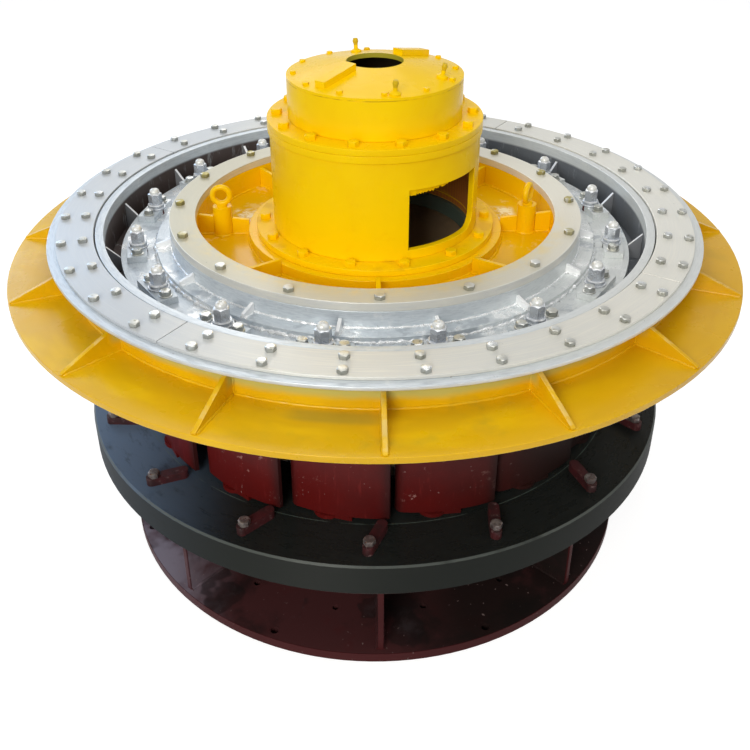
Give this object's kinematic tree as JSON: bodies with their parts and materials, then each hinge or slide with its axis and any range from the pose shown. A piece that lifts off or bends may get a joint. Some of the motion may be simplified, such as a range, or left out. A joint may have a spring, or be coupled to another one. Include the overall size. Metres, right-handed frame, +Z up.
{
  "type": "axial flow turbine distributor",
  "caption": "Guide-vane distributor of an axial-flow water turbine: flanged base, turning vanes between two rings, ribbed head cover and a bearing housing with an access window.",
  "frame": {"origin": "centre of the underside of the base flange, on the turbine axis, at floor level", "axes": "+Z up along the turbine axis, -Y towards the picture's camera side, +X to the right as seen from there"},
  "size_m": [1.5998, 1.5998, 1.1158],
  "materials": {
    "yellow_paint": "gloss paint on steel",
    "silver_paint": "aluminium paint on steel",
    "machined_steel": "turned steel under aluminium paint",
    "vane_paint": "dark red primer, scratched",
    "base_paint": "dark maroon primer",
    "dark_steel": "oiled dark steel"
  },
  "bodies": {
    "distributor": {"base_flange": "base_paint", "runner_chamber": "base_paint", "base_top_plate": "base_paint", "base_ribs": "base_paint", "bottom_ring": "dark_steel", "vane_stops": "vane_paint", "cover_floor_ring": "silver_paint", "cover_wall": "silver_paint", "stem_deck": "silver_paint", "cover_lip": "silver_paint", "cover_ribs": "silver_paint", "stem_blocks": "silver_paint", "support_wall_ring": "yellow_paint", "support_flange": "yellow_paint", "support_gussets": "yellow_paint", "clamp_seat": "silver_paint", "clamp_segments": "machined_steel", "pan_flange": "machined_steel", "pan_wall_ring": "yellow_paint", "inner_pan": "yellow_paint", "pan_ribs": "yellow_paint", "hub_cone": "base_paint", "lifting_posts": "yellow_paint", "lifting_eyes": "yellow_paint", "housing_flange": "yellow_paint", "bearing_housing": "yellow_paint", "cap_flange": "yellow_paint", "bearing_cap": "yellow_paint", "top_cover": "yellow_paint"},
    "vane_01": {"guide_vane_01": "vane_paint"},
    "vane_02": {"guide_vane_02": "vane_paint"},
    "vane_03": {"guide_vane_03": "vane_paint"},
    "vane_04": {"guide_vane_04": "vane_paint"},
    "vane_05": {"guide_vane_05": "vane_paint"},
    "vane_06": {"guide_vane_06": "vane_paint"},
    "vane_07": {"guide_vane_07": "vane_paint"},
    "vane_08": {"guide_vane_08": "vane_paint"},
    "vane_09": {"guide_vane_09": "vane_paint"},
    "vane_10": {"guide_vane_10": "vane_paint"},
    "vane_11": {"guide_vane_11": "vane_paint"},
    "vane_12": {"guide_vane_12": "vane_paint"},
    "vane_13": {"guide_vane_13": "vane_paint"},
    "vane_14": {"guide_vane_14": "vane_paint"},
    "vane_15": {"guide_vane_15": "vane_paint"},
    "vane_16": {"guide_vane_16": "vane_paint"}
  },
  "joints": [
    {"name": "vane_01_turn", "type": "hinge", "parent": "distributor", "child": "vane_01", "pos_m": [0.51687, 0.10281, 0.5], "axis": [0, 0, 1], "range_deg": [0, 40]},
    {"name": "vane_02_turn", "type": "hinge", "parent": "distributor", "child": "vane_02", "pos_m": [0.43818, 0.29279, 0.5], "axis": [0, 0, 1], "range_deg": [0, 40]},
    {"name": "vane_03_turn", "type": "hinge", "parent": "distributor", "child": "vane_03", "pos_m": [0.29279, 0.43818, 0.5], "axis": [0, 0, 1], "range_deg": [0, 40]},
    {"name": "vane_04_turn", "type": "hinge", "parent": "distributor", "child": "vane_04", "pos_m": [0.10281, 0.51687, 0.5], "axis": [0, 0, 1], "range_deg": [0, 40]},
    {"name": "vane_05_turn", "type": "hinge", "parent": "distributor", "child": "vane_05", "pos_m": [-0.10281, 0.51687, 0.5], "axis": [0, 0, 1], "range_deg": [0, 40]},
    {"name": "vane_06_turn", "type": "hinge", "parent": "distributor", "child": "vane_06", "pos_m": [-0.29279, 0.43818, 0.5], "axis": [0, 0, 1], "range_deg": [0, 40]},
    {"name": "vane_07_turn", "type": "hinge", "parent": "distributor", "child": "vane_07", "pos_m": [-0.43818, 0.29279, 0.5], "axis": [0, 0, 1], "range_deg": [0, 40]},
    {"name": "vane_08_turn", "type": "hinge", "parent": "distributor", "child": "vane_08", "pos_m": [-0.51687, 0.10281, 0.5], "axis": [0, 0, 1], "range_deg": [0, 40]},
    {"name": "vane_09_turn", "type": "hinge", "parent": "distributor", "child": "vane_09", "pos_m": [-0.51687, -0.10281, 0.5], "axis": [0, 0, 1], "range_deg": [0, 40]},
    {"name": "vane_10_turn", "type": "hinge", "parent": "distributor", "child": "vane_10", "pos_m": [-0.43818, -0.29279, 0.5], "axis": [0, 0, 1], "range_deg": [0, 40]},
    {"name": "vane_11_turn", "type": "hinge", "parent": "distributor", "child": "vane_11", "pos_m": [-0.29279, -0.43818, 0.5], "axis": [0, 0, 1], "range_deg": [0, 40]},
    {"name": "vane_12_turn", "type": "hinge", "parent": "distributor", "child": "vane_12", "pos_m": [-0.10281, -0.51687, 0.5], "axis": [0, 0, 1], "range_deg": [0, 40]},
    {"name": "vane_13_turn", "type": "hinge", "parent": "distributor", "child": "vane_13", "pos_m": [0.10281, -0.51687, 0.5], "axis": [0, 0, 1], "range_deg": [0, 40]},
    {"name": "vane_14_turn", "type": "hinge", "parent": "distributor", "child": "vane_14", "pos_m": [0.29279, -0.43818, 0.5], "axis": [0, 0, 1], "range_deg": [0, 40]},
    {"name": "vane_15_turn", "type": "hinge", "parent": "distributor", "child": "vane_15", "pos_m": [0.43818, -0.29279, 0.5], "axis": [0, 0, 1], "range_deg": [0, 40]},
    {"name": "vane_16_turn", "type": "hinge", "parent": "distributor", "child": "vane_16", "pos_m": [0.51687, -0.10281, 0.5], "axis": [0, 0, 1], "range_deg": [0, 40]}
  ],
  "couplings": [
    {"joint": "vane_02_turn", "follows": "vane_01_turn", "ratio": 1},
    {"joint": "vane_03_turn", "follows": "vane_01_turn", "ratio": 1},
    {"joint": "vane_04_turn", "follows": "vane_01_turn", "ratio": 1},
    {"joint": "vane_05_turn", "follows": "vane_01_turn", "ratio": 1},
    {"joint": "vane_06_turn", "follows": "vane_01_turn", "ratio": 1},
    {"joint": "vane_07_turn", "follows": "vane_01_turn", "ratio": 1},
    {"joint": "vane_08_turn", "follows": "vane_01_turn", "ratio": 1},
    {"joint": "vane_09_turn", "follows": "vane_01_turn", "ratio": 1},
    {"joint": "vane_10_turn", "follows": "vane_01_turn", "ratio": 1},
    {"joint": "vane_11_turn", "follows": "vane_01_turn", "ratio": 1},
    {"joint": "vane_12_turn", "follows": "vane_01_turn", "ratio": 1},
    {"joint": "vane_13_turn", "follows": "vane_01_turn", "ratio": 1},
    {"joint": "vane_14_turn", "follows": "vane_01_turn", "ratio": 1},
    {"joint": "vane_15_turn", "follows": "vane_01_turn", "ratio": 1},
    {"joint": "vane_16_turn", "follows": "vane_01_turn", "ratio": 1}
  ]
}
